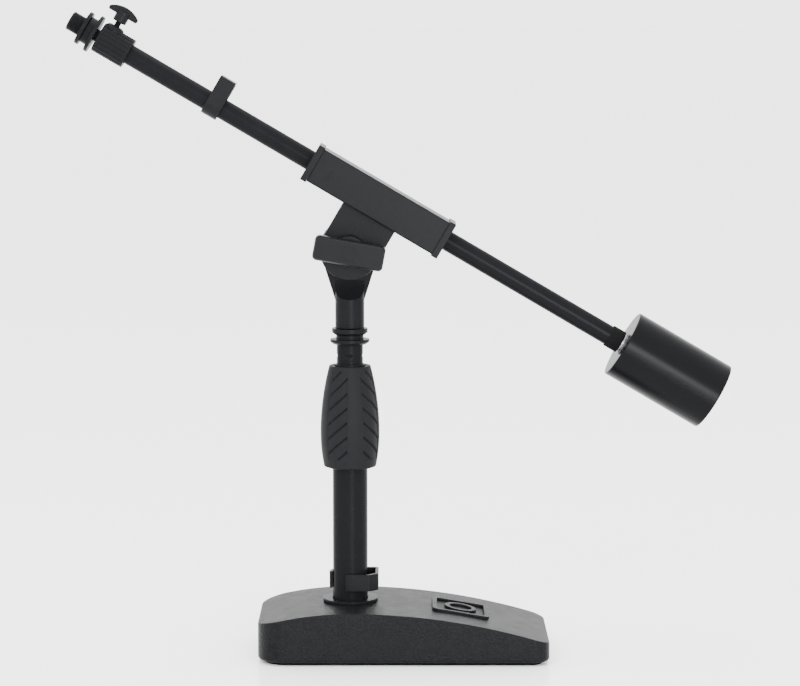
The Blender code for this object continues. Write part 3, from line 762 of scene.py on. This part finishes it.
def make_riser_top():
    """Top plug with flange, hub and thread, and its lock ring."""
    low, high = extent("riser_stud")
    flange = extent("inner_tube")[1].z + FIT_GAP
    outline = [(0, low.z), (RISER_PLUG, low.z), (RISER_PLUG, flange), (RISER_FLANGE_FOOT, flange),
               (high.x, flange + RISER_FLANGE_BEVEL), (high.x, RISER_FLANGE_TOP),
               (HUB_RADIUS, RISER_FLANGE_TOP), (HUB_RADIUS, RISER_HUB_TOP), (THREAD_RADIUS, RISER_HUB_TOP),
               (THREAD_RADIUS, high.z - THREAD_BEVEL), (THREAD_TIP, high.z), (0, high.z)]
    thread = (RISER_HUB_TOP + FIT_GAP, high.z - THREAD_BEVEL)
    turned_piece("riser_stud_top", "riser_stud", outline, edge=0.3, relief=thread_relief(*thread),
                 step=THREAD_ROW, span=thread)
    low, high = extent("riser_lock_ring")
    turned_piece("riser_lock_ring_nut", "riser_lock_ring",
                 [(THREAD_BORE, low.z), (RISER_RING_FOOT, low.z), (high.x, low.z + RISER_RING_BEVEL),
                  (high.x, high.z), (THREAD_BORE, high.z)], edge=0.4)


# ---------------------------------------------------------------- head

def ear_outline(radius, neck, low):
    """Round top that narrows to the neck."""
    return arc(0, 0, radius, *EAR_ROUND, 64) + [(-neck, low), (neck, low)]


def scoop_outline(neck):
    """What is cut away in front of the ear, as (height, depth) from the pivot."""
    reach = neck + EAR_FACE
    radius = (SCOOP_RISE ** 2 + reach ** 2) / (2 * reach)
    end = 180 - math.degrees(math.asin((radius - reach) / radius))
    curve = arc(SCOOP_RISE - SCOOP_DROP, EAR_FACE - radius, radius, 90, end, 24)
    return [(30, -30), (30, EAR_FACE)] + curve + [(-SCOOP_DROP, -30)]


def make_head():
    """Turned neck with a flat ear, scooped out in front, then what sits on the pivot."""
    low, high = extent("swivel_base", HEAD)
    radius = high.z
    neck = high.y
    top = -NECK_TOP_DROP
    hole = extent("riser_stud", HEAD)[1].z + STUD_ROOM
    profile = [(THREAD_BORE, low.z), (neck, low.z), (neck, top), (0, top), (0, hole), (THREAD_BORE, hole)]
    base = turned("swivel_base_neck", fillet(profile, 0.5, axis=True), HEAD)
    forward = HEAD @ FORWARD
    outline = ear_outline(radius, neck - 0.1, -EAR_FLARE_DROP)
    combine(base, prism("ear", outline, -neck, EAR_TRIM - EAR_FACE, forward), "UNION")
    sideways = HEAD @ Matrix.Rotation(math.radians(-90), 4, "Y")
    combine(base, prism("scoop", scoop_outline(neck), -30, 30, sideways))
    combine(base, plug("bolt_hole", BOLT_RADIUS + FIT_GAP, -30, 10, forward, 128))
    combine(base, plug("head_room", BOLT_HEAD_ROOM, -30, BOLT_HEAD_SEAT, forward, 128))
    soften(base, 0.6, 3, 30)
    stand_for(base, "swivel_base", finish_of("swivel_base"), 40)
    make_pivot(forward)
    make_handle(forward)


def make_pivot(forward):
    """Socket-head bolt and the washer between the ear and the tongue."""
    low, high = extent("pivot_bolt", forward)
    seat = low.z + BOLT_HEAD_RISE
    outline = [(0, low.z), (BOLT_HEAD_FACE, low.z), (BOLT_HEAD, low.z + BOLT_HEAD_BEVEL), (BOLT_HEAD, seat),
               (BOLT_RADIUS, seat), (BOLT_RADIUS, high.z - 0.6), (BOLT_RADIUS - 0.6, high.z), (0, high.z)]
    bolt = turned("pivot_bolt_head", fillet(outline, 0.2, axis=True), forward)
    hexagon = arc(0, 0, HEX_RADIUS, 0, 300, 5)
    combine(bolt, prism("hex_socket", hexagon, low.z - 1, low.z + HEX_DEPTH, forward))
    stand_for(bolt, "pivot_bolt", finish_of("pivot_bolt"))
    low, high = extent("friction_washer", forward)
    turned_piece("friction_washer_disc", "friction_washer",
                 ring_section(BOLT_RADIUS + FIT_GAP, high.x, low.z, high.z), forward, 0.2)


def make_handle(forward):
    """T-bar with a crowned front, soft ends and a plain shallow ring."""
    low, high = extent("tilt_handle", forward)
    lean = forward @ Matrix.Rotation(-math.radians(HANDLE_LEAN), 4, "Z")
    back, face = HANDLE_BACK, high.z
    rings = []
    levels = 10
    for i in range(levels + 1):
        share = i / levels
        z = back + (face - back) * share
        shrink = HANDLE_BACK_EDGE * max(0, HANDLE_BACK_SHARE - share) / HANDLE_BACK_SHARE
        shrink += HANDLE_CROWN * (max(0, share - HANDLE_CROWN_START) / (1 - HANDLE_CROWN_START)) ** 2
        outline = rounded_rectangle(HANDLE_LENGTH - 2 * shrink, HANDLE_HEIGHT - 2 * shrink,
                                    HANDLE_CORNER - shrink / 2)
        rings.append([(x, y, z) for x, y in outline])
    bar = loft("tilt_handle_bar", rings, lean)
    groove = ring_section(*HANDLE_RING, face - HANDLE_RING_DEPTH, face + 1)
    combine(bar, turned("plain_ring", groove, forward))
    hub = fillet(ring_section(0, HANDLE_HUB, low.z, back + 3), 0.6, axis=True)
    combine(bar, turned("hub", hub, forward), "UNION")
    combine(bar, plug("pocket", *HANDLE_POCKET, forward))
    stand_for(bar, "tilt_handle", finish_of("tilt_handle"), 30)


# ---------------------------------------------------------------- cradle

def make_cradle():
    """Block with its tongue, bored for the boom's sleeve and the pivot bolt, and its caps."""
    low, high = extent("cradle_housing", BOX)
    half = high.y
    height = 2 * high.z
    forward = BOX @ FORWARD
    section = rounded_rectangle(height, 2 * half, CRADLE_CORNER, 5)
    housing = prism("cradle_housing_block", section, low.x, high.x, BOOM)
    soften(housing, 0.3, 2, 60)
    drop = -(BOOM_MIDDLE - PIVOT).length / MM
    root = 2 - height / 2
    tongue_outline = [(TONGUE_HALF, root), (-TONGUE_HALF, root)] + arc(0, drop, TONGUE_HALF, 180, 360, 64)
    tongue = prism("tongue", tongue_outline, *TONGUE_FACES, forward)
    soften(tongue, 0.5, 2, 60)
    combine(housing, tongue, "UNION")
    combine(housing, plug("bore", extent("boom_sleeve", BOOM)[1].y + FIT_GAP, -80, 80, BOOM))
    combine(housing, plug("hinge_hole", BOLT_RADIUS + FIT_GAP, -PAST, 20, CRADLE @ FORWARD))
    corner = Vector((SNAP_PLACE[0] + low.x, SNAP_PLACE[1], 0)) * MM
    combine(housing, prism("snap_slot", rounded_rectangle(*SNAP_SLOT, 0.5), half - SNAP_DEPTH, half + 3,
                           forward @ Matrix.Translation(corner)))
    stand_for(housing, "cradle_housing", finish_of("cradle_housing"), 40)
    for node, side in (("end_cap_tip_side", -1), ("end_cap_weight_side", 1)):
        make_cap(node, side)


def make_cap(node, side):
    """Slightly proud end cap with soft edges and a spigot."""
    low, high = extent(node, BOOM)
    block = extent("cradle_housing", BOOM)
    face = block[1].z + CAP_GAP if side > 0 else block[0].z - CAP_GAP
    start, end = (face, high.z) if side > 0 else (low.z, face)
    outline = rounded_rectangle(2 * high.x, 2 * high.y, CAP_CORNER)
    cap = prism(node + "_plate", outline, start, end, BOOM)
    soften(cap, 0.35)
    reach = (low.z, face + 1) if side > 0 else (face - 1, high.z)
    combine(cap, plug("spigot", CAP_SPIGOT, *reach, BOOM), "UNION")
    combine(cap, plug("hole", CAP_BORE, -90, 90, BOOM))
    stand_for(cap, node, finish_of(node))


# ---------------------------------------------------------------- boom

def flutes(count, depth, low, high):
    """Axial flutes between two heights."""
    def relief(angle, height, radius):
        if radius < COLLAR_SKIN or not low < height < high:
            return 0
        fade = min(1, (height - low) / FLUTE_FADE, (high - height) / FLUTE_FADE)
        return depth * (0.5 + 0.5 * math.cos(count * angle)) ** 2 * fade
    return relief


def make_boom():
    """Tube, stop sleeve, counterweight and cable clip, then what sits at the tip."""
    tube("boom_tube_wall", "boom_tube", BOOM)
    low, high = extent("boom_stop_sleeve", BOOM)
    turned_piece("boom_stop_ring", "boom_stop_sleeve",
                 ring_section(BOOM_BORE, high.y, low.z, high.z), BOOM, 0.4)
    make_collar()
    low, high = extent("counterweight", BOOM)
    bore = SHANK_RADIUS + FIT_GAP
    hole = low.z + WEIGHT_BORE_DEPTH
    turned_piece("counterweight_body", "counterweight",
                 [(bore, low.z), (high.y, low.z), (high.y, high.z), (0, high.z), (0, hole), (bore, hole)],
                 BOOM, WEIGHT_EDGE, steps=160)
    low, high = extent("boom_clip", BOOM)
    middle = BOOM @ Matrix.Translation((0, 0, (low.z + high.z) / 2 * MM))
    flip = middle @ Matrix.Rotation(math.pi, 4, "Z")
    make_clip("boom_clip", "boom_tube", BOOM_CLIP_WALL, flip, BOOM_CLIP_MOUTH, BOOM_CLIP_SLOPE)
    make_stud()
    make_thumb_screw()


def make_collar():
    """Fluted collar over the tube's end, with the thumb screw's boss."""
    low, high = extent("tip_collar", BOOM)
    radius = high.y
    shank = SHANK_RADIUS + FIT_GAP
    socket = extent("boom_tube", BOOM)[0].z - FIT_GAP
    section = [(BOOM_BORE, high.z), (radius, high.z), (radius, low.z), (shank, low.z), (shank, socket),
               (BOOM_BORE, socket)]
    relief = flutes(FLUTE_COUNT, FLUTE_DEPTH, low.z + FLUTE_MARGIN, high.z - FLUTE_MARGIN)
    collar = turned("tip_collar_body", dense(fillet(section, 0.6), 0.6), BOOM, 280, relief)
    upward = THUMB @ Matrix.Translation((0, 0, -THUMB_DROP * MM))
    combine(collar, turned("boss", fillet(BOSS_PROFILE, 1.0, axis=True), upward), "UNION")
    combine(collar, plug("thread_hole", ROD_RADIUS + FIT_GAP, *ROD_HOLE, upward, 40))
    stand_for(collar, "tip_collar", finish_of("tip_collar"), 45)


def make_stud():
    """Shank, flange, hub and microphone thread, and the lock ring on it."""
    low, high = extent("mic_stud", BOOM)
    radius = high.y
    outline = [(0, low.z), (THREAD_TIP, low.z), (THREAD_RADIUS, low.z + THREAD_BEVEL),
               (THREAD_RADIUS, MIC_HUB_FRONT), (HUB_RADIUS, MIC_HUB_FRONT), (HUB_RADIUS, MIC_FLANGE_FRONT),
               (radius, MIC_FLANGE_FRONT), (radius, MIC_FLANGE_BACK), (SHANK_RADIUS, MIC_FLANGE_BACK),
               (SHANK_RADIUS, high.z), (0, high.z)]
    thread = (low.z + THREAD_BEVEL, MIC_HUB_FRONT)
    turned_piece("mic_stud_thread", "mic_stud", outline, BOOM, 0.3, thread_relief(*thread), THREAD_ROW, 128,
                 thread)
    low, high = extent("mic_lock_ring", BOOM)
    turned_piece("mic_lock_ring_nut", "mic_lock_ring",
                 ring_section(THREAD_BORE, high.y, low.z, high.z), BOOM, 0.5)


def make_thumb_screw():
    """Threaded rod with a winged knob."""
    upward = THUMB @ Matrix.Translation((0, 0, -THUMB_DROP * MM))
    low, high = extent("thumb_rod", upward)
    turned_piece("thumb_rod_thread", "thumb_rod", ring_section(0, ROD_RADIUS, low.z, high.z),
                 upward, 0.2, thread_relief(low.z, high.z), THREAD_ROW, 48)
    knob = turned("thumb_knob_wings", fillet(KNOB_PROFILE, 0.3, axis=True), upward)
    tip = (WING_FOOT[0][0], WING_FOOT[-1][1])
    outline = WING_FOOT + arc(*WING_CROWN, 32) + [tip]
    wings = prism("wings", outline, -WING_HALF, WING_HALF, upward @ FORWARD)
    soften(wings, 0.8, 3, 50)
    combine(knob, wings, "UNION")
    combine(knob, plug("insert", ROD_RADIUS + FIT_GAP, *KNOB_HOLE, upward, 40))
    stand_for(knob, "thumb_knob", finish_of("thumb_knob"), 40)


# ---------------------------------------------------------------- studio

def area_light(name, place, size, watts):
    """A soft box that lights the stand but isn't seen itself."""
    light = bpy.data.lights.new(name, "AREA")
    light.shape = "RECTANGLE"
    light.size, light.size_y = size
    light.energy = watts
    lamp = bpy.data.objects.new(name, light)
    bpy.context.scene.collection.objects.link(lamp)
    lamp.location = place
    lamp.visible_camera = False
    lamp.rotation_euler = (Vector(LIGHT_AIM) - Vector(place)).to_track_quat("-Z", "Y").to_euler()


def make_studio():
    """Pale floor under an even pale sky, with soft boxes for the highlights."""
    shape = bmesh.new()
    bmesh.ops.create_circle(shape, cap_ends=True, segments=96, radius=FLOOR_RADIUS)
    floor = make_object("studio_floor", shape, STAND)
    floor.data.materials.append(procedural("pale_floor", (0.93, 0.93, 0.93), (0.96, 0.96, 0.96),
                                           (0.24, 0.28), 0.5, grain=300, bump=0.02, depth=0.02, cloud=2))
    world = bpy.data.worlds.new("studio")
    bpy.context.scene.world = world
    world.use_nodes = True
    sky = world.node_tree.nodes["Background"]
    sky.inputs["Color"].default_value = (1, 1, 1, 1)
    sky.inputs["Strength"].default_value = SKY
    for light in LIGHTS:
        area_light(*light)


def make_camera():
    """The photograph's viewing angle, a little from above."""
    data = bpy.data.cameras.new("camera")
    data.lens = CAMERA_LENS
    data.sensor_width = 36.0
    camera = bpy.data.objects.new("camera", data)
    bpy.context.scene.collection.objects.link(camera)
    camera.location = CAMERA_PLACE
    camera.rotation_euler = (math.radians(90 - CAMERA_PITCH), 0, 0)
    bpy.context.scene.camera = camera


def finish_kept_nodes():
    """CAD nodes whose shape is right keep it and get their finish's material."""
    for node, item in frame["nodes"].items():
        if not item.hide_render:
            item.data.materials.clear()
            item.data.materials.append(finish_of(node))


make_camera()
make_base()
make_column()
make_head()
make_cradle()
make_boom()
finish_kept_nodes()
make_studio()
